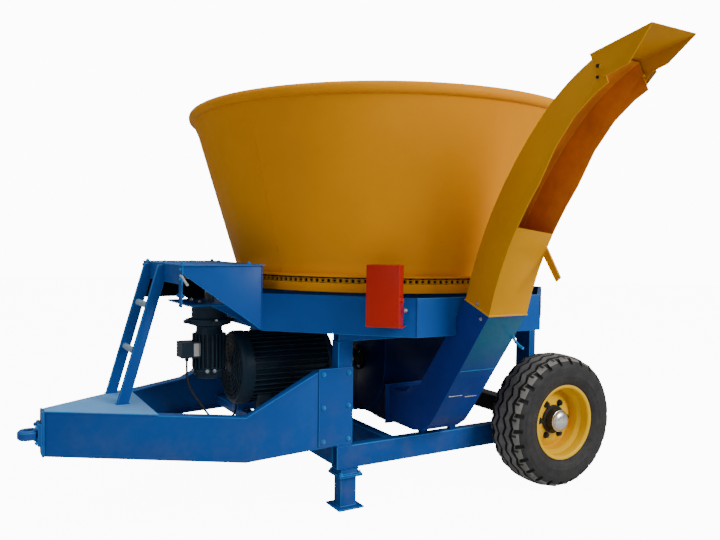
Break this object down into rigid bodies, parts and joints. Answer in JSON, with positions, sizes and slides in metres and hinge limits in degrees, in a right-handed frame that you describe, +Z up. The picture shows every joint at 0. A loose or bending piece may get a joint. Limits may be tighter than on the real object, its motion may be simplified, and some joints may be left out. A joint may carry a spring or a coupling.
{
  "type": "tub bale shredder trailer",
  "caption": "Towed bale shredder: a slow-turning conical tub over a hammer mill with an electric drive, and a curved discharge chute with a tilting end deflector.",
  "frame": {"origin": "bottom centre of the whole machine's box, on the ground", "axes": "+Z up, -X towards the tow eye, -Y towards the discharge chute"},
  "size_m": [3.246, 3.2394, 2.1786],
  "materials": {
    "yellow_paint": "gloss",
    "blue_paint": "gloss",
    "red_paint": "gloss",
    "motor_paint": "satin",
    "black_paint": "satin",
    "bare_steel": "worn",
    "cable_sheath": "matte",
    "tyre_rubber": "matte"
  },
  "bodies": {
    "chassis": {"axle": "black_paint", "chute": "yellow_paint", "clamp_plate_left": "blue_paint", "clamp_plate_right": "blue_paint", "cross_member_front": "blue_paint", "cross_member_middle": "blue_paint", "deck_plate": "blue_paint", "discharge_duct": "blue_paint", "drawbar_nose_plate": "blue_paint", "drawbar_side_left": "blue_paint", "drawbar_side_right": "blue_paint", "drawbar_top_plate": "blue_paint", "drive_fascia": "blue_paint", "drive_side_left": "blue_paint", "drive_side_right": "blue_paint", "front_post_left": "blue_paint", "front_post_right": "blue_paint", "gear_motor": "motor_paint", "ladder": "blue_paint", "lower_beam_left": "blue_paint", "lower_beam_right": "blue_paint", "main_motor": "motor_paint", "mill_housing": "blue_paint", "motor_base": "blue_paint", "motor_cable": "cable_sheath", "motor_plate": "blue_paint", "pan_floor": "blue_paint", "pan_skirt": "blue_paint", "parking_leg_left": "blue_paint", "parking_leg_right": "blue_paint", "rear_cross_rail": "blue_paint", "rear_post_left": "blue_paint", "rear_post_right": "blue_paint", "roller_guard_front_left": "red_paint", "roller_guard_front_right": "red_paint", "roller_guard_rear": "red_paint", "rotor_bearing_front": "black_paint", "rotor_bearing_rear": "black_paint", "top_rail_left": "blue_paint", "top_rail_right": "blue_paint", "tow_eye": "blue_paint"},
    "tub": {"tub_wall": "yellow_paint", "tub_pin_ring": "yellow_paint"},
    "sprocket": {"drive_sprocket": "bare_steel"},
    "rotor": {"mill_rotor": "bare_steel", "shaft_coupling": "black_paint"},
    "deflector": {"chute_deflector": "yellow_paint"},
    "wheel_left": {"tyre_left": "tyre_rubber", "wheel_rim_left": "yellow_paint", "wheel_hub_left": "black_paint"},
    "wheel_right": {"tyre_right": "tyre_rubber", "wheel_rim_right": "yellow_paint", "wheel_hub_right": "black_paint"},
    "roller_front_left": {"tub_roller_front_left": "bare_steel"},
    "roller_front_right": {"tub_roller_front_right": "bare_steel"},
    "roller_rear": {"tub_roller_rear": "bare_steel"}
  },
  "joints": [
    {"name": "tub_spin", "type": "hinge", "parent": "chassis", "child": "tub", "pos_m": [0.44, 0.4367, 1.134], "axis": [0, 0, 1], "continuous": true},
    {"name": "sprocket_spin", "type": "hinge", "parent": "chassis", "child": "sprocket", "pos_m": [-0.6717, 0.4367, 1.192], "axis": [0, 0, 1], "continuous": true},
    {"name": "rotor_spin", "type": "hinge", "parent": "chassis", "child": "rotor", "pos_m": [0.44, 0.4367, 0.68], "axis": [1, 0, 0], "continuous": true},
    {"name": "deflector_tilt", "type": "hinge", "parent": "chassis", "child": "deflector", "pos_m": [0.44, -1.4005, 2.0659], "axis": [1, 0, 0], "range_deg": [-8, 35]},
    {"name": "wheel_left_spin", "type": "hinge", "parent": "chassis", "child": "wheel_left", "pos_m": [1.119, 1.2257, 0.38], "axis": [0, 1, 0], "continuous": true},
    {"name": "wheel_right_spin", "type": "hinge", "parent": "chassis", "child": "wheel_right", "pos_m": [1.119, -0.3523, 0.38], "axis": [0, 1, 0], "continuous": true},
    {"name": "roller_front_left_spin", "type": "hinge", "parent": "chassis", "child": "roller_front_left", "pos_m": [-0.0154, 1.213, 1.0837], "axis": [-0.506, 0.8625, 0], "continuous": true},
    {"name": "roller_front_right_spin", "type": "hinge", "parent": "chassis", "child": "roller_front_right", "pos_m": [-0.0154, -0.3396, 1.0837], "axis": [-0.506, -0.8625, 0], "continuous": true},
    {"name": "roller_rear_spin", "type": "hinge", "parent": "chassis", "child": "roller_rear", "pos_m": [1.34, 0.4367, 1.0837], "axis": [1, 0, 0], "continuous": true}
  ],
  "couplings": [
    {"joint": "sprocket_spin", "follows": "tub_spin", "ratio": -4.5},
    {"joint": "roller_front_left_spin", "follows": "tub_spin", "ratio": -17.97},
    {"joint": "roller_front_right_spin", "follows": "tub_spin", "ratio": -17.97},
    {"joint": "roller_rear_spin", "follows": "tub_spin", "ratio": -17.97}
  ]
}
